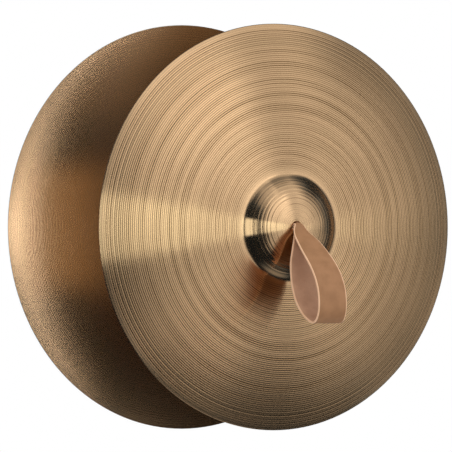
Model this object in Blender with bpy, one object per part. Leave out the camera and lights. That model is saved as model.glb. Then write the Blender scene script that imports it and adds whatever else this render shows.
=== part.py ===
"""A pair of 20 inch hand cymbals, held upright face to face, each with its leather hand strap.

Both cymbals are one assembly: a spun and lathed bronze plate, a leather hand loop that hangs outside
the bell, and the strap's four thongs, which pass through the bell's hole and are crowned into a flat
knot inside it. The rear cymbal is the front one turned half a turn about the vertical.

World frame: origin midway between the plates on their common axis, which lies along Y. The front
plate's bell points to -Y and the rear plate's to +Y. Up is +Z. Lengths are in metres.
"""

import math

import bmesh
import bpy
from mathutils import Matrix, Vector

MM = 0.001

# Plate, measured from its rim plane towards the bell
PLATE_RADIUS = 254 * MM
PLATE_GAP = 224 * MM
BOW_RISE = 36.2 * MM
BOW_POWER = 2.9
BELL_RADIUS = 66 * MM
BELL_RISE = 19.3 * MM
BELL_POWER = 3
BELL_FILLET = 7 * MM
BELL_STEPS = 6
BOW_STEPS = 8
HOLE_RADIUS = 6.95 * MM
WALL_AT_HOLE = 1.35 * MM
WALL_AT_RIM = 0.9 * MM
RIM_LAND = 1.0 * MM
PLATE_SEGMENTS = 72

# Hand loop
LEATHER = 2.6 * MM
LOOP_WIDTH = 41 * MM
NECK_WIDTH = 11.4 * MM
WIDENING_LENGTH = 26 * MM
NECK_CUP = math.radians(20)
CUP_LENGTH = 12 * MM
SWING_PIVOT_OUT = 56.6 * MM
LOOP_STEPS_PER_POINT = 3
LOOP_ACROSS = 5

# Thongs and their crown knot
THONG_WIDTH = 8 * MM
THONG_THICKNESS = 2.4 * MM
THONG_IN_HOLE = 4.2 * MM
THONG_GAP = 0.4 * MM
KNOT_CHANNEL = 5.6 * MM
KNOT_LAYER = 3.2 * MM
KNOT_FIRST_LAYER_OUT = 50.6 * MM
KNOT_BIGHT_X = 12 * MM
KNOT_BEND = 3 * MM
KNOT_RAMP_X = 3.92 * MM
NOSE_RADIUS = 4.4 * MM
NOSE_REACHES = (4.2 * MM, 3.4 * MM, 2.0 * MM, 0.0)
HOLE_END_OUT = 53.4 * MM
TAIL_CLEARANCE = 0.8 * MM
TAIL_START_RADIUS = 20 * MM
TAIL_SPREAD = 3 * MM
TAIL_END_RADIUS = 50 * MM
TAIL_TIP_WIDTH = 4.6 * MM

# The loop's mid line in mm, as (out from the rim plane, height over the plate's axis). It runs from
# the neck down the outer branch, round the bottom fold and up the branch next to the bell.
LOOP_LINE = (
    (60.6, -2.7), (68.9, -7.4), (81.6, -16.0), (99.6, -31.0), (117.2, -46.0), (130.0, -60.5),
    (138.4, -76.0), (141.6, -91.5), (140.6, -105.0), (135.2, -115.0), (126.4, -118.5),
    (114.6, -115.4), (99.8, -106.8), (86.0, -93.4), (75.8, -75.6), (70.0, -58.0), (66.9, -43.0),
    (65.6, -28.0), (63.2, -16.6), (60.6, -9.8), (57.9, -4.9),
)


def clear_scene():
    for item in list(bpy.data.objects):
        bpy.data.objects.remove(item)


def principled(name, colour, roughness, metallic):
    material = bpy.data.materials.new(name)
    material.use_nodes = True
    shader = material.node_tree.nodes["Principled BSDF"]
    shader.inputs["Base Color"].default_value = (*colour, 1)
    shader.inputs["Roughness"].default_value = roughness
    shader.inputs["Metallic"].default_value = metallic
    return material


def make_object(name, mesh, parent, material, turn=0.0):
    """One named piece under its cymbal's empty, turned about the cymbal's own axis."""
    piece = bpy.data.objects.new(name, mesh)
    bpy.context.scene.collection.objects.link(piece)
    piece.parent = parent
    piece.rotation_euler = (0, turn, 0)
    if not mesh.materials:
        mesh.materials.append(material)
    return piece


def finish_mesh(bm, name, sharp_degrees):
    bmesh.ops.recalc_face_normals(bm, faces=bm.faces[:])
    mesh = bpy.data.meshes.new(name)
    bm.to_mesh(mesh)
    bm.free()
    mesh.shade_smooth()
    mesh.set_sharp_from_angle(angle=math.radians(sharp_degrees))
    return mesh


# Plate


def bow_height(radius):
    """Outer surface of the bow over the rim plane: nearly flat by the bell and turned down at the rim."""
    return WALL_AT_RIM + BOW_RISE * (1 - (radius / PLATE_RADIUS) ** BOW_POWER)


def bow_slope(radius):
    return -BOW_RISE * BOW_POWER / PLATE_RADIUS * (radius / PLATE_RADIUS) ** (BOW_POWER - 1)


def bell_drop(radius):
    """How far the bell falls from its crown at a radius: flat on top, with steep flanks."""
    return BELL_RISE * (radius / BELL_RADIUS) ** BELL_POWER


def bell_slope(radius):
    return -BELL_RISE * BELL_POWER / BELL_RADIUS * (radius / BELL_RADIUS) ** (BELL_POWER - 1)


CROWN_HEIGHT = bow_height(BELL_RADIUS) + BELL_RISE
HOLE_MOUTH_OUT = CROWN_HEIGHT - bell_drop(HOLE_RADIUS)


def wall_thickness(radius):
    share = radius / PLATE_RADIUS
    return WALL_AT_HOLE * (1 - share) + WALL_AT_RIM * share


def inner_bell_height(radius):
    """Inner surface of the bell over the rim plane."""
    wall = wall_thickness(radius) * math.hypot(1, bell_slope(radius))
    return CROWN_HEIGHT - bell_drop(radius) - wall


def outer_profile():
    """(radius, height, slope) down the plate's outer side, from the hole's edge to the rim."""
    points = []
    flank_end = BELL_RADIUS - BELL_FILLET / 4
    for i in range(BELL_STEPS + 1):
        radius = HOLE_RADIUS + (flank_end - HOLE_RADIUS) * (i / BELL_STEPS) ** 0.75
        points.append((radius, CROWN_HEIGHT - bell_drop(radius), bell_slope(radius)))
    fillet_foot = BELL_RADIUS + BELL_FILLET / 2
    middle = BELL_RADIUS + BELL_FILLET / 20
    fillet_lift = BELL_FILLET / 12
    points.append((middle, bow_height(middle) + fillet_lift, bell_slope(BELL_RADIUS) / 2))
    for i in range(BOW_STEPS + 1):
        share = (i / BOW_STEPS) ** 0.8
        radius = fillet_foot + (PLATE_RADIUS - fillet_foot) * share
        points.append((radius, bow_height(radius), bow_slope(radius)))
    return points


def plate_outline():
    """The wall's closed section as (radius, height) points: outer side down, rim land, inner side up."""
    outer = outer_profile()
    outline = [(radius, height) for radius, height, _ in outer]
    outline.append((PLATE_RADIUS, 0))
    outline.append((PLATE_RADIUS - RIM_LAND, 0))
    for radius, height, slope in reversed(outer[:-1]):
        vertical_wall = wall_thickness(radius) * math.hypot(1, slope)
        outline.append((radius, height - vertical_wall))
    return outline


def plate_mesh():
    bm = bmesh.new()
    ring = [bm.verts.new((radius, -height, 0)) for radius, height in plate_outline()]
    edges = [bm.edges.new((a, b)) for a, b in zip(ring, ring[1:] + ring[:1])]
    bmesh.ops.spin(
        bm,
        geom=ring + edges,
        cent=(0, 0, 0),
        axis=(0, 1, 0),
        angle=math.tau,
        steps=PLATE_SEGMENTS,
        use_duplicate=False,
    )
    bmesh.ops.remove_doubles(bm, verts=bm.verts[:], dist=0.00001)
    return finish_mesh(bm, "plate", 40)


# Leather strips


def section_ring(centre, across, normal, width, thickness, cup, count):
    """Corner points of one section of a strip. cup is the half angle that its width is bent through,
    with the edges drawn back against the normal."""
    rows = []
    for side in (0.5, -0.5):
        row = []
        for i in range(count):
            share = 2 * i / (count - 1) - 1
            if cup > 0.001:
                bend = width / (2 * cup)
                angle = share * cup
                place = across * (bend * math.sin(angle)) - normal * (bend * (1 - math.cos(angle)))
                facing = normal * math.cos(angle) + across * math.sin(angle)
            else:
                place = across * (share * width / 2)
                facing = normal
            row.append(centre + place + facing * (side * thickness))
        rows.append(row)
    return rows[0] + rows[1][::-1]


def strip_mesh(name, rings):
    """Skins a strip through its section rings and closes both ends."""
    bm = bmesh.new()
    loops = [[bm.verts.new(point) for point in ring] for ring in rings]
    count = len(rings[0])
    for first, second in zip(loops, loops[1:]):
        for i in range(count):
            j = (i + 1) % count
            bm.faces.new((first[i], first[j], second[j], second[i]))
    for end in (loops[0], loops[-1]):
        half = count // 2
        for i in range(half - 1):
            bm.faces.new((end[i], end[i + 1], end[count - 2 - i], end[count - 1 - i]))
    return finish_mesh(bm, name, 50)


def smooth_line(points, steps):
    """A Catmull-Rom curve through the points, with steps parts between each two."""
    padded = [2 * points[0] - points[1], *points, 2 * points[-1] - points[-2]]
    line = []
    for a, b, c, d in zip(padded, padded[1:], padded[2:], padded[3:]):
        for step in range(steps):
            t = step / steps
            line.append(
                0.5 * (2 * b + (c - a) * t + (2 * a - 5 * b + 4 * c - d) * t**2
                       + (3 * b - a - 3 * c + d) * t**3)
            )
    line.append(points[-1])
    return line


def tangents(line):
    ends = [line[0], *line, line[-1]]
    return [(b - a).normalized() for a, b in zip(ends, ends[2:])]


# Hand loop


def eased(share):
    share = min(max(share, 0), 1)
    return share * share * (3 - 2 * share)


def loop_mesh():
    """The loop as one strip that starts and ends at the neck. It widens from the neck to the full
    strap, and its edges curl in a little where it leaves the neck."""
    points = [Vector((0, -out * MM, height * MM)) for out, height in LOOP_LINE]
    line = smooth_line(points, LOOP_STEPS_PER_POINT)
    lengths = [0.0]
    for a, b in zip(line, line[1:]):
        lengths.append(lengths[-1] + (b - a).length)
    across = Vector((1, 0, 0))
    rings = []
    for place, along, length in zip(line, tangents(line), lengths):
        from_neck = min(length, lengths[-1] - length)
        width = LOOP_WIDTH - (LOOP_WIDTH - NECK_WIDTH) * math.exp(-from_neck / WIDENING_LENGTH)
        cup = NECK_CUP * from_neck / CUP_LENGTH * math.exp(1 - from_neck / CUP_LENGTH)
        normal = across.cross(along).normalized()
        rings.append(section_ring(place, across, normal, width, LEATHER, cup, LOOP_ACROSS))
    return strip_mesh("hand_loop", rings)


# Crown knot


def thong_stations():
    """Sections of one thong as (x, out, z centre, width along z, thickness), from its nose outside the
    hole, through the knot, to its tail inside the bell. x runs along the row that it crosses."""
    in_hole = THONG_GAP / 2 + THONG_IN_HOLE / 2
    stations = []
    for reach in NOSE_REACHES:
        half_height = math.sqrt(NOSE_RADIUS**2 - reach**2)
        side = half_height - THONG_GAP / 2
        middle = THONG_GAP / 2 + side / 2
        stations.append((middle, SWING_PIVOT_OUT + reach, middle, side, side))
    stations.append((in_hole, HOLE_END_OUT, in_hole, THONG_IN_HOLE, THONG_IN_HOLE))

    row_z = KNOT_CHANNEL / 2 + THONG_WIDTH / 2
    first = KNOT_FIRST_LAYER_OUT
    for i in range(1, 5):
        angle = math.pi / 2 * i / 4
        share = i / 5
        width = THONG_IN_HOLE + (THONG_WIDTH - THONG_IN_HOLE) * share
        thickness = THONG_IN_HOLE + (THONG_THICKNESS - THONG_IN_HOLE) * math.sin(angle)
        stations.append((
            in_hole + KNOT_BEND * (1 - math.cos(angle)),
            first + KNOT_BEND * (1 - math.sin(angle)),
            in_hole + (row_z - in_hole) * share,
            width,
            thickness,
        ))
    flat = (row_z, THONG_WIDTH, THONG_THICKNESS)
    stations.append((KNOT_BIGHT_X * 0.72, first, *flat))

    for i in range(7):
        angle = math.pi * i / 6
        x = KNOT_BIGHT_X + KNOT_LAYER * math.sin(angle)
        stations.append((x, first - KNOT_LAYER * (1 - math.cos(angle)), *flat))

    over = first - 2 * KNOT_LAYER
    under = first - KNOT_LAYER
    for i in range(5):
        share = i / 4
        x = KNOT_RAMP_X * (1 - 2 * share)
        stations.append((x, over + (under - over) * eased(share), *flat))
    stations.append((-KNOT_BIGHT_X, under, *flat))
    stations.append(((-KNOT_BIGHT_X - TAIL_START_RADIUS) / 2, under + 0.7 * MM, *flat))

    clearance = TAIL_CLEARANCE + THONG_THICKNESS / 2
    for i in range(5):
        share = i / 4
        x = TAIL_START_RADIUS + (TAIL_END_RADIUS - TAIL_START_RADIUS) * share
        z = row_z + TAIL_SPREAD * share
        width = THONG_WIDTH + (TAIL_TIP_WIDTH - THONG_WIDTH) * max(0, share * 4 - 3)
        edge_radius = math.hypot(x, z + width / 2)
        stations.append((-x, inner_bell_height(edge_radius) - clearance, z, width, THONG_THICKNESS))
    return stations


def thong_mesh():
    stations = thong_stations()
    line = [Vector((x, -out, z)) for x, out, z, _, _ in stations]
    across = Vector((0, 0, 1))
    inwards = Vector((0, 1, 0))
    rings = []
    for place, along, (_, out, _, width, thickness) in zip(line, tangents(line), stations):
        if out > HOLE_MOUTH_OUT - 3 * MM:
            along = inwards
        normal = across.cross(Vector((along.x, along.y, 0))).normalized()
        rings.append(section_ring(place, across, normal, width, thickness, 0, 2))
    return strip_mesh("thong", rings)


# Assembly


def build_cymbal(side, y, facing, meshes, bronze, leather):
    """One cymbal under an empty at its rim plane's centre. facing turns it about the vertical."""
    holder = bpy.data.objects.new(f"{side}_cymbal", None)
    bpy.context.scene.collection.objects.link(holder)
    holder.matrix_world = Matrix.Translation((0, y, 0)) @ Matrix.Rotation(facing, 4, "Z")
    plate, loop, thong = meshes
    make_object(f"{side}_plate", plate, holder, bronze)
    make_object(f"{side}_hand_loop", loop, holder, leather)
    corners = ("upper_right", "lower_right", "lower_left", "upper_left")
    for i, corner in enumerate(corners):
        make_object(f"{side}_thong_{corner}", thong, holder, leather, turn=i * math.pi / 2)


def main():
    clear_scene()
    bronze = principled("lathed_bronze", (0.78, 0.54, 0.31), 0.3, 1.0)
    leather = principled("tan_leather", (0.52, 0.30, 0.19), 0.6, 0.0)
    meshes = (plate_mesh(), loop_mesh(), thong_mesh())
    build_cymbal("front", -PLATE_GAP / 2, 0, meshes, bronze, leather)
    build_cymbal("rear", PLATE_GAP / 2, math.pi, meshes, bronze, leather)


main()
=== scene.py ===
"""Looks for a pair of 20 inch hand cymbals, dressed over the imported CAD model.

Two turned bronze plates stand face to face, and each carries a leather hand strap that is knotted
through its bell. The front cymbal's bell points to -Y and the rear one's to +Y. Lengths are in metres.
"""

import math

import bmesh
import bpy
from mathutils import Matrix, Vector


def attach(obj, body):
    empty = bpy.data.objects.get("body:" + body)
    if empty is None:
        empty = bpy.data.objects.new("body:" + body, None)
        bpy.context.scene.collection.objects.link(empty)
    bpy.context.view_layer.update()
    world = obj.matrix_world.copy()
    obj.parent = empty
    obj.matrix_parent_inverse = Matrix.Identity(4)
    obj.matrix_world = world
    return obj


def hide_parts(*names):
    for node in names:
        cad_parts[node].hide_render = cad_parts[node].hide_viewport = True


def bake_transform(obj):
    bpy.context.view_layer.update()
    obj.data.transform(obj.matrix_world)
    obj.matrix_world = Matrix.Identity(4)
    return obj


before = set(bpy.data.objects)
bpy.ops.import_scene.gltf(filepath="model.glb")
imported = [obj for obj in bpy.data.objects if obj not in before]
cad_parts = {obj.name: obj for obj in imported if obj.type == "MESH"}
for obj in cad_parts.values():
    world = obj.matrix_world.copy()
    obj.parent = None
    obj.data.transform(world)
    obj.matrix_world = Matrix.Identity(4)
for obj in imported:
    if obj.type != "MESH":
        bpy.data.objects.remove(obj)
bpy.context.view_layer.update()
scene = bpy.context.scene
MM = 0.001


# Camera. A long lens from the left at the height of the plates' axis, as in the photograph.
CAMERA_BACK = Vector((-0.5114, -0.8593, 0))
CAMERA_RIGHT = Vector((0.8593, -0.5114, 0))
CAMERA_DISTANCE = 25.19
CAMERA_SIDE_STEP = -2.63 * MM
CAMERA_RISE = 1.25 * MM

lens = bpy.data.cameras.new("photo_camera")
lens.lens = 1600
lens.clip_start = 1
lens.clip_end = 80
camera = bpy.data.objects.new("photo_camera", lens)
scene.collection.objects.link(camera)
camera.location = (
    CAMERA_BACK * CAMERA_DISTANCE
    + CAMERA_RIGHT * CAMERA_SIDE_STEP
    + Vector((0, 0, CAMERA_RISE))
)
camera.rotation_mode = "QUATERNION"
camera.rotation_quaternion = CAMERA_BACK.to_track_quat("Z", "Y")
scene.camera = camera
scene.view_settings.view_transform = "Standard"


class Field:
    """A socket that takes plain arithmetic, so a formula in a node tree reads as one."""

    def __init__(self, tree, socket):
        self.tree = tree
        self.socket = socket

    def math(self, operation, *others):
        node = self.tree.nodes.new("ShaderNodeMath")
        node.operation = operation
        for slot, value in zip(node.inputs, (self, *others)):
            put(self.tree, slot, value)
        return Field(self.tree, node.outputs[0])

    def __add__(self, other):
        return self.math("ADD", other)

    def __sub__(self, other):
        return self.math("SUBTRACT", other)

    def __mul__(self, other):
        return self.math("MULTIPLY", other)

    def __truediv__(self, other):
        return self.math("DIVIDE", other)

    def __pow__(self, other):
        return self.math("POWER", other)

    def step(self, low, high, from_value=0.0, to_value=1.0):
        """Eases from one value to another while the field goes from low to high."""
        node = self.tree.nodes.new("ShaderNodeMapRange")
        node.interpolation_type = "SMOOTHSTEP"
        for slot, value in zip(node.inputs, (self, low, high, from_value, to_value)):
            put(self.tree, slot, value)
        return Field(self.tree, node.outputs[0])

    def window(self, centre, half, soft):
        """1 within half of centre, and 0 a soft edge further out."""
        return (self - centre).math("ABSOLUTE").step(half, half + soft, 1.0, 0.0)


def put(tree, slot, value):
    """Links a field to a socket, or writes a plain value there."""
    if isinstance(value, Field):
        tree.links.new(value.socket, slot)
    else:
        slot.default_value = value


def add(tree, kind, outputs=0, settings=None, **values):
    """Adds a node, sets its options and its named inputs, and returns one output as a field."""
    node = tree.nodes.new(kind)
    for name, value in (settings or {}).items():
        setattr(node, name, value)
    for name, value in values.items():
        slot = node.inputs[name.replace("_", " ")]
        put(tree, slot, value)
    return Field(tree, node.outputs[outputs])


def mix_colours(tree, share, first, second, blend="MIX"):
    node = tree.nodes.new("ShaderNodeMix")
    node.data_type = "RGBA"
    node.blend_type = blend
    colours = [s for s in node.inputs if s.type == "RGBA"]
    put(tree, node.inputs[0], share)
    put(tree, colours[0], first)
    put(tree, colours[1], second)
    return Field(tree, [s for s in node.outputs if s.type == "RGBA"][0])


# Studio. White all round for the camera. What the bronze mirrors is a bright top, a dim floor side and
# the dark room behind the camera, as lathed metal needs something dark to show its turning.
FLOOR_DROP = 0.62
FLOOR_RADIUS = 0.9

room = bpy.data.worlds.new("studio")
room.use_nodes = True
room.cycles.sampling_method = "NONE"
scene.world = room
tree = room.node_tree
tree.nodes.clear()
direction = add(tree, "ShaderNodeTexCoord", "Generated")
split = tree.nodes.new("ShaderNodeSeparateXYZ")
put(tree, split.inputs[0], direction)
across, depth, height = (Field(tree, split.outputs[i]) for i in range(3))
azimuth = across.math("ARCTAN2", depth * -1) * (180 / math.pi)
elevation = height.math("ARCSINE") * (180 / math.pi)

# What the bronze mirrors: (level, azimuth, its half width, elevation, its half height, soft edge), in
# degrees, with azimuth 0 straight ahead of the front cymbal and growing to the right
SOFT_AREAS = (
    (0.31, -6, 8, 12, 10, 8),
    (1.12, 12, 8, 16, 9, 10),
    (0.66, 31, 8, 20, 9, 10),
    (0.40, 50, 8, 14, 9, 10),
    (0.57, 12, 8, -12, 6, 10),
    (0.65, 31, 8, -4, 9, 10),
    (0.23, 50, 8, -8, 9, 10),
    (0.15, 70, 8, 4, 14, 10),
    (0.48, 31, 20, 42, 8, 12),
    (0.17, 31, 34, 56, 12, 16),
    (0.46, -8, 12, 44, 10, 12),
    (0.15, 66, 6, -16, 8, 8),
    (0.40, 172, 10, -35, 12, 12),
    (0.50, 222, 20, 14, 24, 18),
)
DARK_ROOM = 0.014
CEILING = 0.04
FLOOR_GLOW = 0.45
WEDGE_FAR_LEFT = 1.38
WEDGE_LEFT = 1.08
WEDGE_SLOPE = 0.15
WEDGE_TINT = (0.93, 1.0, 0.95, 1)

turned = azimuth.math("WRAP", 270, -90)
mirrored = elevation.step(-10, 75, DARK_ROOM, CEILING)
mirrored = mirrored + elevation.step(-52, -72, 0.0, FLOOR_GLOW)
for level, at, half_width, rise, half_height, edge in SOFT_AREAS:
    mirrored = mirrored + (
        turned.window(at, half_width, edge) * elevation.window(rise, half_height, edge) * level
    )
from_plain = (azimuth - 30.8).math("ABSOLUTE")
bar = (elevation.math("ABSOLUTE") / (from_plain * WEDGE_SLOPE + 0.4)).step(0.8, 1.25, 1.0, 0.0)
bar_far_left = azimuth.window(-45, 10, 7)
bar_left = azimuth.step(-17, -8) * azimuth.step(20, 30, 1.0, 0.0)
bar = bar * (bar_far_left * WEDGE_FAR_LEFT + bar_left * WEDGE_LEFT)
mirrored = mirrored + bar
backdrop = azimuth.window(149.2, 6, 6) * elevation.window(0, 6, 6)
mirrored = mirrored.math("MAXIMUM", backdrop)
soft = elevation.step(-60, 70, 0.42, 0.95)

path = tree.nodes.new("ShaderNodeLightPath")
seen = Field(tree, path.outputs["Is Camera Ray"])
shiny = Field(tree, path.outputs["Is Glossy Ray"]).math(
    "MAXIMUM", Field(tree, path.outputs["Is Transmission Ray"])
)
level = soft * (shiny * -1 + 1) + mirrored * shiny
level = level * (seen * -1 + 1) + seen
background = tree.nodes.new("ShaderNodeBackground")
dark_tint, light_tint = (0.72, 1.0, 1.35, 1), (1, 1, 1, 1)
tint = mix_colours(tree, level.step(0.03, 0.3), dark_tint, light_tint)
tint = mix_colours(tree, bar * shiny * (seen * -1 + 1), tint, WEDGE_TINT)
put(tree, background.inputs["Color"], tint)
put(tree, background.inputs["Strength"], level)
world_output = tree.nodes.new("ShaderNodeOutputWorld")
tree.links.new(background.outputs[0], world_output.inputs[0])


def soft_box(name, place, facing, size, watts, mirrored=True):
    """One rectangular soft box. The camera doesn't see it."""
    lamp = bpy.data.lights.new(name, "AREA")
    lamp.shape = "RECTANGLE"
    lamp.size, lamp.size_y = size
    lamp.energy = watts
    box = bpy.data.objects.new(name, lamp)
    box.visible_camera = False
    box.visible_glossy = mirrored
    box.location = place
    box.rotation_mode = "QUATERNION"
    box.rotation_quaternion = Vector(facing).to_track_quat("-Z", "Y")
    scene.collection.objects.link(box)


# Small boxes right of the gap, just behind the front cymbal's rim. They face the rear cymbal.
for name, x, z, size, watts in (
    ("gap_strip", 0.46, 0.0, (0.40, 0.03), 0.12),
    ("near_gap_box", 0.33, -0.12, (0.12, 0.10), 0.33),
    ("near_high_gap_box", 0.33, 0.12, (0.12, 0.10), 0.035),
    ("low_gap_box", 0.55, -0.21, (0.32, 0.24), 0.22),
    ("high_gap_box", 0.68, 0.22, (0.30, 0.24), 0.03),
):
    soft_box(name, (x, -0.10, z), (0, 1, 0), size, watts)
soft_box("upper_left_box", (-0.176, -1.676, 1.414), (0.08, 0.76, -0.64), (1.0, 0.8), 8, False)
soft_box("far_side_box", (-0.8, 1.714, 1.478), (0.33, -0.71, -0.62), (1.0, 0.8), 8, False)

floor_mesh = bpy.data.meshes.new("floor")
bm = bmesh.new()
bmesh.ops.create_circle(bm, cap_ends=True, radius=FLOOR_RADIUS, segments=96)
bm.to_mesh(floor_mesh)
bm.free()
floor = bpy.data.objects.new("floor", floor_mesh)
floor.location = (0, 0, -FLOOR_DROP)
floor.visible_glossy = False
scene.collection.objects.link(floor)
paper = bpy.data.materials.new("pale_floor")
paper.use_nodes = True
floor_mesh.materials.append(paper)
tree = paper.node_tree
shader = tree.nodes["Principled BSDF"]
shader.inputs["Base Color"].default_value = (0.86, 0.86, 0.86, 1)
shader.inputs["Roughness"].default_value = 0.9
place = add(tree, "ShaderNodeTexCoord", "Object")
from_middle = add(tree, "ShaderNodeVectorMath", "Value", {"operation": "LENGTH"}, Vector=place)
put(tree, shader.inputs["Alpha"], from_middle.step(FLOOR_RADIUS * 0.5, FLOOR_RADIUS, 1.0, 0.0))


# Plates. Each is one disc of cast bell bronze, rolled, hammered into a bow with a raised bell, and
# turned on a lathe, whose tool leaves fine rings. The rim's last band and the bell are smoother.
PLATE_RADIUS = 254 * MM
RIM_OFFSET = 112 * MM
BOW_RISE = 36.2 * MM
BOW_POWER = 2.9
BELL_RADIUS = 66 * MM
BELL_RISE = 19.3 * MM
BELL_POWER = 3.0
BELL_BLEND = 4 * MM
HOLE_RADIUS = 6.95 * MM
WALL_AT_HOLE = 1.35 * MM
WALL_AT_RIM = 0.9 * MM
RIM_LAND = 1.0 * MM
RINGS = 100
RING_STEPS = 5
OUTER_STEPS = RINGS * RING_STEPS + 1
INNER_STEPS = 100
RIM_STEPS = 6
SEGMENTS = 148


def plate_tree():
    """Node tree that turns a plate's section round its axis and cuts the lathe's rings into it."""
    tree = bpy.data.node_groups.new("turned_plate", "GeometryNodeTree")
    interface = tree.interface
    interface.new_socket("Geometry", in_out="OUTPUT", socket_type="NodeSocketGeometry")
    sizes = (
        ("Rim radius", PLATE_RADIUS), ("Bow rise", BOW_RISE), ("Bow power", BOW_POWER),
        ("Bell radius", BELL_RADIUS), ("Bell rise", BELL_RISE), ("Bell power", BELL_POWER),
        ("Hole radius", HOLE_RADIUS), ("Wall at hole", WALL_AT_HOLE), ("Wall at rim", WALL_AT_RIM),
        ("Ring wander", 0.35 * MM), ("Ring depth", 0.17 * MM), ("Hammer depth", 0.07 * MM),
        ("Rim offset", RIM_OFFSET), ("Side", 1.0), ("Seed", 3.0),
    )
    for name, value in sizes:
        socket = interface.new_socket(name, in_out="INPUT", socket_type="NodeSocketFloat")
        socket.default_value = value
    for name in ("Outer bronze", "Shaded inner bronze"):
        interface.new_socket(name, in_out="INPUT", socket_type="NodeSocketMaterial")
    inputs = tree.nodes.new("NodeGroupInput")
    given = {socket.name: Field(tree, socket) for socket in inputs.outputs if socket.name}

    columns = OUTER_STEPS + RIM_STEPS + INNER_STEPS + 1
    grid = tree.nodes.new("GeometryNodeMeshGrid")
    grid.inputs["Size X"].default_value = columns - 1
    grid.inputs["Size Y"].default_value = SEGMENTS
    grid.inputs["Vertices X"].default_value = columns
    grid.inputs["Vertices Y"].default_value = SEGMENTS + 1
    where = tree.nodes.new("GeometryNodeInputPosition")
    split = tree.nodes.new("ShaderNodeSeparateXYZ")
    tree.links.new(where.outputs[0], split.inputs[0])
    along = (Field(tree, split.outputs[0]) + (columns - 1) / 2).math("ROUND")
    around = (Field(tree, split.outputs[1]) + SEGMENTS / 2) * (math.tau / SEGMENTS)

    # Which stretch of the section a column is on: outer side, rim, inner side, or back at the start
    outer_share = along / (OUTER_STEPS - 1)
    rim_share = (along - (OUTER_STEPS - 1)) / (RIM_STEPS + 1)
    inner_share = (along - (OUTER_STEPS + RIM_STEPS)) / (INNER_STEPS - 1)
    past_outer = along.math("GREATER_THAN", OUTER_STEPS - 0.5)
    past_rim = along.math("GREATER_THAN", OUTER_STEPS + RIM_STEPS - 0.5)
    back = along.math("GREATER_THAN", columns - 1.5)
    outer_share = outer_share * (back * -1 + 1)

    edge = given["Wall at rim"] / 2
    rim, hole = given["Rim radius"], given["Hole radius"]
    passes = outer_share * RINGS

    def noise(kind, detail, *place):
        """A noise texture in as many dimensions as there are places, about 0."""
        node = tree.nodes.new("ShaderNodeTexNoise")
        node.noise_dimensions = kind
        node.inputs["Scale"].default_value = 1
        node.inputs["Detail"].default_value = detail
        if kind == "1D":
            put(tree, node.inputs["W"], place[0])
        else:
            spot = tree.nodes.new("ShaderNodeCombineXYZ")
            for slot, value in zip(spot.inputs, place):
                put(tree, slot, value)
            tree.links.new(spot.outputs[0], node.inputs["Vector"])
        return Field(tree, node.outputs[0]) - 0.5

    wander = noise("1D", 1, passes / 2.7 + given["Seed"] * 7.3) * given["Ring wander"]
    ends_fixed = outer_share.step(0.0, 0.05) * outer_share.step(0.95, 1.0, 1.0, 0.0)
    outer_radius = hole + (rim - edge - hole) * outer_share + wander * ends_fixed
    inner_radius = rim - RIM_LAND - (rim - hole - RIM_LAND) * inner_share

    def heights(radius):
        """Bow and bell heights over the rim plane and the wall's own thickness, at a radius."""
        share = radius / rim
        bow = (share ** given["Bow power"] * -1 + 1) * given["Bow rise"]
        bow_slope = share ** (given["Bow power"] - 1) * given["Bow rise"] * given["Bow power"] / rim
        bell_share = radius / given["Bell radius"]
        bell_at_joint = (
            (given["Bell radius"] / rim) ** given["Bow power"] * -1 + 1
        ) * given["Bow rise"]
        bell = bell_at_joint + given["Bell rise"] * (bell_share ** given["Bell power"] * -1 + 1)
        bell_slope = (
            bell_share ** (given["Bell power"] - 1)
            * given["Bell rise"] * given["Bell power"] / given["Bell radius"]
        )
        wall = given["Wall at hole"] + (given["Wall at rim"] - given["Wall at hole"]) * share
        return bow, bow_slope, bell, bell_slope, wall

    def hypotenuse(slope):
        return (slope * slope + 1).math("SQRT")

    bow, _, bell, _, _ = heights(outer_radius)
    lift = given["Wall at rim"]
    outer_height = bow.math("SMOOTH_MAX", bell, BELL_BLEND) + lift

    # The lathe's rings: one narrow valley for each pass of the tool, each of its own depth, and
    # fading in and out on its way round
    ring = (passes + 0.5).math("FLOOR")
    valley = (passes * math.pi).math("SINE").math("ABSOLUTE") * -1 + 1
    own = tree.nodes.new("ShaderNodeTexWhiteNoise")
    own.noise_dimensions = "1D"
    put(tree, own.inputs["W"], ring + given["Seed"] * 31.0)
    own_depth = Field(tree, own.outputs[0]).step(0.4, 1.0, 0.85, 1.25)
    fading = noise("3D", 1, around.math("COSINE") * 1.7, around.math("SINE") * 1.7, ring * 5.3)
    own_depth = own_depth * fading.step(-0.22, 0.22, 0.8, 1.1)
    on_bow = outer_radius.step(BELL_RADIUS, BELL_RADIUS + 12 * MM) * outer_radius.step(
        PLATE_RADIUS - 10 * MM, PLATE_RADIUS - 4 * MM, 1.0, 0.15
    )
    on_bell = outer_radius.step(BELL_RADIUS - 8 * MM, BELL_RADIUS, 1.0, 0.0)
    bell_depth = (own_depth - 0.62).math("MAXIMUM", 0.06) * 1.2
    own_depth = own_depth * on_bow + bell_depth * on_bell
    cut = valley * own_depth
    # Where the tool's valleys lie, for the material's dark brown lines there: partly a brown film, partly painted
    # shade in the grooves.
    groove_film_and_shade_mask = ((passes * math.pi).math("COSINE") ** 2.0) * own_depth
    rim_waves = (outer_radius * (math.tau / (5.4 * MM))).math("SINE") * outer_radius.window(
        PLATE_RADIUS - 15 * MM, 6 * MM, 4 * MM
    )
    bell_waves = (outer_radius * (math.tau / (4.3 * MM))).math("SINE") * outer_radius.window(
        47 * MM, 9 * MM, 8 * MM
    )
    outer_height = outer_height - cut * given["Ring depth"]
    outer_height = outer_height + rim_waves * (0.045 * MM) + bell_waves * (0.06 * MM)

    # Hammer marks under the turning: shallow, a few centimetres across
    marks = noise(
        "3D", 1.5,
        outer_radius * around.math("COSINE") / (22 * MM),
        outer_radius * around.math("SINE") / (22 * MM),
        given["Seed"],
    )
    outer_height = outer_height + (marks - 0.3) * on_bow * given["Hammer depth"]

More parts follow.
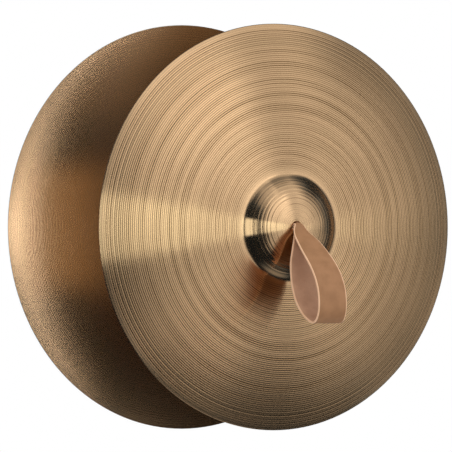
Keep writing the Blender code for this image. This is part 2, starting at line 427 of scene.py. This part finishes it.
    # The hole's edge is broken a little by hand
    broken = outer_radius.step(hole, hole + 0.9 * MM, 0.35 * MM, 0.0)
    outer_height = outer_height - broken

    bow, bow_slope, bell, bell_slope, wall = heights(inner_radius)
    inner_height = lift + (bow - wall * hypotenuse(bow_slope)).math(
        "SMOOTH_MAX", bell - wall * hypotenuse(bell_slope), BELL_BLEND
    )
    inner_height = inner_height.math("MAXIMUM", 0.0)

    turn = (rim_share * -math.pi) + math.pi / 2
    rim_radius = rim - edge + turn.math("COSINE") * edge
    rim_height = edge + turn.math("SINE") * edge

    def choose(share, first, second):
        return first + (second - first) * share

    radius = choose(past_outer, outer_radius, rim_radius)
    radius = choose(past_rim, radius, inner_radius)
    radius = choose(back, radius, outer_radius)
    out = choose(past_outer, outer_height, rim_height)
    out = choose(past_rim, out, inner_height)
    out = choose(back, out, outer_height)

    place = tree.nodes.new("ShaderNodeCombineXYZ")
    put(tree, place.inputs[0], radius * around.math("COSINE"))
    put(tree, place.inputs[1], (out + given["Rim offset"]) * given["Side"] * -1)
    put(tree, place.inputs[2], radius * around.math("SINE"))

    # What the materials read is stored while the grid is flat, as the fields start from its places
    face_column = tree.nodes.new("GeometryNodeFieldOnDomain")
    face_column.domain = "FACE"
    put(tree, face_column.inputs[0], along)
    inner_faces = Field(tree, face_column.outputs[0]).math("GREATER_THAN", OUTER_STEPS + 1.0)
    flat = grid.outputs["Mesh"]
    for attribute, domain, value in (
        ("valley", "POINT", groove_film_and_shade_mask * (past_outer * -1 + 1)), ("inner_side", "FACE", inner_faces),
    ):
        store = tree.nodes.new("GeometryNodeStoreNamedAttribute")
        store.data_type = "FLOAT"
        store.domain = domain
        store.inputs["Name"].default_value = attribute
        tree.links.new(flat, store.inputs["Geometry"])
        put(tree, [s for s in store.inputs if s.name == "Value" and s.enabled][0], value)
        flat = store.outputs[0]

    move = tree.nodes.new("GeometryNodeSetPosition")
    tree.links.new(flat, move.inputs["Geometry"])
    tree.links.new(place.outputs[0], move.inputs["Position"])
    join = tree.nodes.new("GeometryNodeMergeByDistance")
    join.inputs["Distance"].default_value = 0.004 * MM
    tree.links.new(move.outputs[0], join.inputs["Geometry"])
    paint = tree.nodes.new("GeometryNodeSetMaterial")
    tree.links.new(join.outputs[0], paint.inputs["Geometry"])
    put(tree, paint.inputs["Material"], given["Outer bronze"])
    named = tree.nodes.new("GeometryNodeInputNamedAttribute")
    named.data_type = "FLOAT"
    named.inputs["Name"].default_value = "inner_side"
    inside = Field(tree, [s for s in named.outputs if s.name == "Attribute" and s.enabled][0])
    # The inner side takes the darker bronze, which is painted shade.
    paint_inner = tree.nodes.new("GeometryNodeSetMaterial")
    tree.links.new(paint.outputs[0], paint_inner.inputs["Geometry"])
    put(tree, paint_inner.inputs["Selection"], inside.math("GREATER_THAN", 0.5))
    put(tree, paint_inner.inputs["Material"], given["Shaded inner bronze"])
    real = tree.nodes.new("GeometryNodeRealizeInstances")
    tree.links.new(paint_inner.outputs[0], real.inputs[0])
    output = tree.nodes.new("NodeGroupOutput")
    tree.links.new(real.outputs[0], output.inputs[0])
    return tree


def noise_on_radius(tree, radius, pitch, detail=2.0, roughness=0.6):
    """Uneven rings round the plate's axis, about as wide as pitch."""
    noise = tree.nodes.new("ShaderNodeTexNoise")
    noise.noise_dimensions = "1D"
    noise.inputs["Scale"].default_value = 1
    noise.inputs["Detail"].default_value = detail
    noise.inputs["Roughness"].default_value = roughness
    put(tree, noise.inputs["W"], radius / pitch)
    return Field(tree, noise.outputs[0])


def bronze(
    name, clean, ring_contrast, groove_film_and_shade_share, bow_roughness, bell_roughness, anisotropy, ring_bump, lines
):
    """Lathed bell bronze. The tool's rings spread a reflection along the radius, so the tangent is
    the radius. The valleys are painted dark brown: partly a thin brown film, partly painted shade in the grooves."""
    material = bpy.data.materials.new(name)
    material.use_nodes = True
    tree = material.node_tree
    shader = tree.nodes["Principled BSDF"]
    shader.inputs["Metallic"].default_value = 1
    shader.inputs["Anisotropic"].default_value = anisotropy
    place = add(tree, "ShaderNodeTexCoord", "Object")
    flat = tree.nodes.new("ShaderNodeVectorMath")
    flat.operation = "MULTIPLY"
    put(tree, flat.inputs[0], place)
    flat.inputs[1].default_value = (1, 0, 1)
    flat_place = Field(tree, flat.outputs[0])
    put(tree, shader.inputs["Tangent"], flat_place)
    radius = add(tree, "ShaderNodeVectorMath", "Value", {"operation": "LENGTH"}, Vector=flat_place)

    on_bell = radius.step(BELL_RADIUS - 3 * MM, BELL_RADIUS + 3 * MM, 1.0, 0.0)
    valley = add(tree, "ShaderNodeAttribute", "Fac", {"attribute_name": "valley"})
    rings = noise_on_radius(tree, radius, 1.5 * MM)
    bands = noise_on_radius(tree, radius, 17 * MM, 1.0)
    cloud = add(tree, "ShaderNodeTexNoise", 0, None, Vector=place, Scale=22.0, Detail=3.0)
    dull, groove_film_and_shade = (0.60, 0.41, 0.225, 1), (0.20, 0.11, 0.045, 1)
    colour = mix_colours(tree, rings.step(0.62, 0.36, 0.0, 1.0) * ring_contrast, clean, dull)
    colour = mix_colours(tree, bands.step(0.35, 0.7, 0.0, 0.25), colour, dull)
    colour = mix_colours(tree, cloud.step(0.45, 0.75, 0.0, 0.14), colour, (0.74, 0.46, 0.27, 1))
    # Dark brown lines at each tool pass and in the valleys: partly a brown film, partly painted shade in the
    # grooves.
    passes = ((radius / (2.45 * MM) + bands * 1.3) * math.tau).math("SINE") * lines
    colour = mix_colours(tree, passes.step(-0.2, 1.0, 0.0, 0.35), colour, groove_film_and_shade)
    colour = mix_colours(tree, valley.step(0.0, 1.3, 0.0, 1.0) * groove_film_and_shade_share, colour, groove_film_and_shade)
    put(tree, shader.inputs["Base Color"], colour)

    fine = noise_on_radius(tree, radius, 0.7 * MM, 1.0)
    rough = (rings - 0.5) * 0.08 + (fine - 0.5) * 0.04 + bow_roughness
    rough = rough + on_bell * (bell_roughness - bow_roughness) + valley * 0.05
    rough = rough + radius.step(30 * MM, 46 * MM, 0.07, 0.0)
    put(tree, shader.inputs["Roughness"], rough)

    bump = tree.nodes.new("ShaderNodeBump")
    bump.inputs["Distance"].default_value = ring_bump
    bump.inputs["Strength"].default_value = 1
    put(tree, bump.inputs["Height"], (rings + fine * 0.18) * (on_bell * -0.8 + 1) + passes)
    tree.links.new(bump.outputs[0], shader.inputs["Normal"])
    return material


outer_bronze = bronze("turned_bronze_outside", (0.82, 0.535, 0.30, 1), 0.35, 1.0, 0.18, 0.13, 1.0, 0.03 * MM, 0.0)
# The inside bronze is the same metal painted darker: painted shade for the dark gap between the plates.
shaded_inner_bronze = bronze("turned_bronze_inside_painted_shade", (0.60, 0.395, 0.228, 1), 0.35, 0.0, 0.17, 0.17, 0.8, 0.012 * MM, 1.0)
turned_plate = plate_tree()


def turn_plate(name, node, body, side, seed):
    mesh = bpy.data.meshes.new(name)
    plate = bpy.data.objects.new(name, mesh)
    scene.collection.objects.link(plate)
    lathe = plate.modifiers.new("lathe", "NODES")
    lathe.node_group = turned_plate
    chosen = {
        "Side": side, "Seed": seed, "Outer bronze": outer_bronze, "Shaded inner bronze": shaded_inner_bronze,
    }
    for item in turned_plate.interface.items_tree:
        if item.in_out == "INPUT" and item.name in chosen:
            lathe[item.identifier] = chosen[item.name]
    settled = plate.evaluated_get(bpy.context.evaluated_depsgraph_get())
    finished = bpy.data.meshes.new_from_object(settled)
    plate.modifiers.remove(lathe)
    plate.data = finished
    bm = bmesh.new()
    bm.from_mesh(finished)
    bmesh.ops.recalc_face_normals(bm, faces=bm.faces[:])
    bm.to_mesh(finished)
    bm.free()
    finished.shade_smooth()
    finished.set_sharp_from_angle(angle=math.radians(35))
    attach(plate, body)
    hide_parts(node)


turn_plate("front_turned_plate", "front_plate", "front_cymbal", 1.0, 3.0)
turn_plate("rear_turned_plate", "rear_plate", "rear_cymbal", -1.0, 8.0)


# Hand straps. Each is one strip of vegetable tanned leather, folded into a loop outside the bell. Its
# two ends pass through the hole together, and the strip is widest where it lies across the hand.
LEATHER = 2.6 * MM
LOOP_WIDTH = 41 * MM
NECK_WIDTH = 10.6 * MM
WIDENING_LENGTH = 26 * MM
NECK_CUP = math.radians(20)
HOLE_CUP = math.radians(62)
IN_HOLE_LENGTH = 5.6 * MM
CUP_LENGTH = 12 * MM
# The strap's mid line in mm, as (out from the rim plane, height), from in the hole round to the hole
STRAP_LINE = (
    (53.8, 3.9), (55.6, 4.2), (58.2, 4.2), (61.1, 2.0), (64.6, -3.0), (70.3, -8.0), (81.8, -16.2),
    (99.6, -31.0), (117.2, -46.0), (130.0, -60.5), (138.4, -76.0), (141.6, -91.5), (140.6, -105.0),
    (135.2, -115.0), (126.4, -118.5), (114.6, -115.4), (99.8, -106.8), (86.0, -93.4),
    (75.8, -75.6), (70.0, -58.0), (66.9, -43.0), (65.6, -28.0), (63.2, -16.6), (60.2, -9.6),
    (57.6, -5.2), (55.6, -4.2), (53.8, -3.9),
)


def smooth_line(points, steps):
    """A Catmull-Rom curve through the points, with steps parts between each two."""
    padded = [2 * points[0] - points[1], *points, 2 * points[-1] - points[-2]]
    line = []
    for a, b, c, d in zip(padded, padded[1:], padded[2:], padded[3:]):
        for step in range(steps):
            t = step / steps
            line.append(
                0.5 * (2 * b + (c - a) * t + (2 * a - 5 * b + 4 * c - d) * t**2
                       + (3 * b - a - 3 * c + d) * t**3)
            )
    line.append(points[-1])
    return line


def leather(name, colour, dark, roughness, grain, grain_depth, fibres):
    """Undyed leather: a tan that varies in clouds, with pores on the grain side and short fibres on
    the flesh side and the cut edges."""
    material = bpy.data.materials.new(name)
    material.use_nodes = True
    tree = material.node_tree
    shader = tree.nodes["Principled BSDF"]
    shader.inputs["Specular IOR Level"].default_value = 0.4
    place = add(tree, "ShaderNodeTexCoord", "Object")
    cloud = add(tree, "ShaderNodeTexNoise", 0, None, Vector=place, Scale=60.0, Detail=4.0)
    speck = add(tree, "ShaderNodeTexNoise", 0, None, Vector=place, Scale=900.0, Detail=3.0)
    tone = mix_colours(tree, cloud.step(0.3, 0.75), colour, dark)
    tone = mix_colours(tree, speck.step(0.45, 0.8, 0.0, fibres), tone, dark)
    put(tree, shader.inputs["Base Color"], tone)
    put(tree, shader.inputs["Roughness"], (speck - 0.5) * 0.25 + roughness)
    pores = add(tree, "ShaderNodeTexVoronoi", "Distance", {"feature": "DISTANCE_TO_EDGE"},
                Vector=place, Scale=grain)
    bump = tree.nodes.new("ShaderNodeBump")
    bump.inputs["Distance"].default_value = grain_depth
    put(tree, bump.inputs["Height"], pores.step(0.0, 0.25) + speck * (1 + fibres * 2))
    tree.links.new(bump.outputs[0], shader.inputs["Normal"])
    return material


grain_side = leather(
    "leather_grain_side", (0.45, 0.225, 0.105, 1), (0.37, 0.18, 0.08, 1), 0.5, 900, 0.05 * MM, 0.1
)
flesh_side = leather(
    "leather_flesh_side", (0.62, 0.355, 0.22, 1), (0.52, 0.285, 0.17, 1), 0.75, 500, 0.10 * MM, 0.4
)
# The cut edges' own pale leather. On the grain side's outermost band it is a painted highlight along the rounded
# edge.
cut_edge_and_highlight = leather(
    "leather_cut_edge_and_highlight", (0.98, 0.62, 0.39, 1), (0.90, 0.55, 0.33, 1), 0.6, 700, 0.06 * MM, 0.3
)
ACROSS = 14
EDGE_ROUNDS = 4
# How far the painted edge highlight reaches onto the grain side.
PALE_EDGE_HIGHLIGHT = 0.55 * MM


def strip_ring(centre, across, normal, width, thickness, cup):
    """One section of a strip with rounded edges: grain side, one edge, flesh side, other edge. Its
    edges are bent back against the normal by the angle cup."""
    round_off = thickness * 0.36
    half = width / 2 - round_off
    middle = max(half - PALE_EDGE_HIGHLIGHT, half * 0.5)
    ring = [(-half, thickness / 2)]
    for i in range(ACROSS - 1):
        ring.append((middle * (2 * i / (ACROSS - 2) - 1), thickness / 2))
    ring.append((half, thickness / 2))
    for i in range(1, EDGE_ROUNDS + 1):
        angle = math.pi / 2 * i / EDGE_ROUNDS
        ring.append((half + round_off * math.sin(angle), thickness / 2 - round_off * (1 - math.cos(angle))))
    for i in range(EDGE_ROUNDS):
        angle = math.pi / 2 * i / EDGE_ROUNDS
        ring.append((half + round_off * math.cos(angle), -thickness / 2 + round_off * (1 - math.sin(angle))))
    lower = [(-x, -y) for x, y in ring]
    placed = []
    for x, y in ring + lower:
        if cup > 0.001:
            bend = width / (2 * cup)
            angle = x / bend
            place = across * (bend * math.sin(angle)) - normal * (bend * (1 - math.cos(angle)))
            facing = normal * math.cos(angle) + across * math.sin(angle)
        else:
            place, facing = across * x, normal
        placed.append(centre + place + facing * y)
    return placed


def strip_mesh(name, rings):
    """Skins a strip through its rings, closes its ends and gives each side its leather."""
    bm = bmesh.new()
    loops = [[bm.verts.new(point) for point in ring] for ring in rings]
    count = len(rings[0])
    half = count // 2
    for first, second in zip(loops, loops[1:]):
        for i in range(count):
            j = (i + 1) % count
            face = bm.faces.new((first[i], first[j], second[j], second[i]))
            spot = i % half
            # The cut edge, and the grain side's outermost band, which carries a painted highlight.
            edge_and_highlight = spot == 0 or spot >= ACROSS - 1
            face.material_index = 2 if edge_and_highlight else (0 if i < half else 1)
    for end in (loops[0], loops[-1]):
        face = bm.faces.new(end)
        face.material_index = 2
        bmesh.ops.triangulate(bm, faces=[face])
    bmesh.ops.recalc_face_normals(bm, faces=bm.faces[:])
    mesh = bpy.data.meshes.new(name)
    bm.to_mesh(mesh)
    bm.free()
    for material in (grain_side, flesh_side, cut_edge_and_highlight):
        mesh.materials.append(material)
    mesh.shade_smooth()
    mesh.set_sharp_from_angle(angle=math.radians(60))
    return mesh


def place_on(side, x, out, z):
    """A cymbal's own (x, out, z) in the row frame. The rear one is turned half a turn."""
    return Vector((x * side, -side * (RIM_OFFSET + out), z))


def hand_strap(name, side):
    points = [Vector((0, out * MM, height * MM)) for out, height in STRAP_LINE]
    line = smooth_line(points, 7)
    lengths = [0.0]
    for a, b in zip(line, line[1:]):
        lengths.append(lengths[-1] + (b - a).length)
    ends = [line[0], *line, line[-1]]
    rings = []
    for place, before, after, length in zip(line, ends, ends[2:], lengths):
        from_end = min(length, lengths[-1] - length)
        from_neck = max(from_end - IN_HOLE_LENGTH, 0)
        width = LOOP_WIDTH - (LOOP_WIDTH - NECK_WIDTH) * math.exp(-from_neck / WIDENING_LENGTH)
        cup = NECK_CUP * from_neck / CUP_LENGTH * math.exp(1 - from_neck / CUP_LENGTH)
        cup += HOLE_CUP * max(1 - from_end / (IN_HOLE_LENGTH * 1.6), 0)
        along = (after - before).normalized()
        normal = Vector((0, along.z, -along.y))
        middle = place_on(side, 0, place.y, place.z)
        turned = Vector((0, -side * normal.y, normal.z))
        rings.append(strip_ring(middle, Vector((side, 0, 0)), -turned, width, LEATHER, cup))
    strap = bpy.data.objects.new(name, strip_mesh(name, rings))
    scene.collection.objects.link(strap)
    return strap


for name, side in (("front", 1), ("rear", -1)):
    strap = hand_strap(f"{name}_hand_strap", side)
    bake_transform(strap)
    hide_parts(f"{name}_hand_loop")


# Crown knots. Inside the bell each strap end is slit in two, and the four thongs are crowned: each
# lies over the next one's root and tucks under the one after, and its tail runs along the bell.
# Sections of one thong in mm, as (along its row, out, across its row, width, thickness)
THONG_SECTIONS = (
    (2.30, 54.00, 2.30, 4.20, 4.20), (2.30, 53.40, 2.30, 4.20, 4.20),
    (2.53, 52.45, 3.20, 4.96, 3.51), (3.18, 51.48, 4.10, 5.72, 2.93),
    (4.15, 50.83, 5.00, 6.48, 2.54), (5.30, 50.60, 5.90, 7.24, 2.40),
    (8.64, 50.60, 6.80, 8.00, 2.40), (12.00, 50.60, 6.80, 8.00, 2.40),
    (13.60, 50.17, 6.80, 8.00, 2.40), (14.77, 49.00, 6.80, 8.00, 2.40),
    (15.20, 47.40, 6.80, 8.00, 2.40), (14.77, 45.80, 6.80, 8.00, 2.40),
    (13.60, 44.63, 6.80, 8.00, 2.40), (12.00, 44.20, 6.80, 8.00, 2.40),
    (3.92, 44.20, 6.80, 8.00, 2.40), (1.96, 44.70, 6.80, 8.00, 2.40),
    (0.00, 45.80, 6.80, 8.00, 2.40), (-1.96, 46.90, 6.80, 8.00, 2.40),
    (-3.92, 47.40, 6.80, 8.00, 2.40), (-12.00, 47.40, 6.80, 8.00, 2.40),
    (-16.00, 48.10, 6.80, 8.00, 2.40), (-20.00, 51.57, 6.80, 8.00, 2.40),
    (-27.50, 50.57, 7.55, 7.90, 2.35), (-35.00, 48.91, 8.30, 7.70, 2.30),
    (-42.50, 46.41, 9.05, 7.30, 2.25), (-48.60, 43.70, 9.70, 5.30, 2.15),
    (-50.00, 43.11, 9.80, 3.40, 1.90),
)
THONG_STEPS = 4
THONG_CUP = math.radians(14)


def thong_mesh(name, side, turn, wear):
    places = [Vector((x * MM, -out * MM, z * MM)) for x, out, z, _, _ in THONG_SECTIONS]
    sizes = [Vector((width * MM, thickness * MM, 0)) for *_, width, thickness in THONG_SECTIONS]
    line = smooth_line(places, THONG_STEPS)
    sizes = smooth_line(sizes, THONG_STEPS)
    ends = [line[0], *line, line[-1]]
    rings = []
    for i, (place, before, after, size) in enumerate(zip(line, ends, ends[2:], sizes)):
        along = Vector((after.x - before.x, after.y - before.y, 0))
        if place.y < -53.2 * MM:
            along = Vector((0, 1, 0))
        normal = along.cross(Vector((0, 0, 1))).normalized()
        width = size.x * (1 - 0.03 * (1 + math.sin(i * 0.9 + wear)))
        flat = min(max((width - 6 * MM) / (2 * MM), 0), 1)
        rings.append(strip_ring(place, Vector((0, 0, 1)), normal, width, size.y, THONG_CUP * flat))
    mesh = strip_mesh(name, rings)
    mesh.transform(
        Matrix.Translation((0, -side * RIM_OFFSET, 0))
        @ Matrix.Rotation(0 if side > 0 else math.pi, 4, "Z")
        @ Matrix.Rotation(turn, 4, "Y")
    )
    return mesh


for name, side in (("front", 1), ("rear", -1)):
    for i, corner in enumerate(("upper_right", "lower_right", "lower_left", "upper_left")):
        piece = f"{name}_crown_thong_{corner}"
        thong = bpy.data.objects.new(piece, thong_mesh(piece, side, i * math.pi / 2, i * 1.7))
        scene.collection.objects.link(thong)
        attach(thong, f"{name}_knot")
        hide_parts(f"{name}_thong_{corner}")
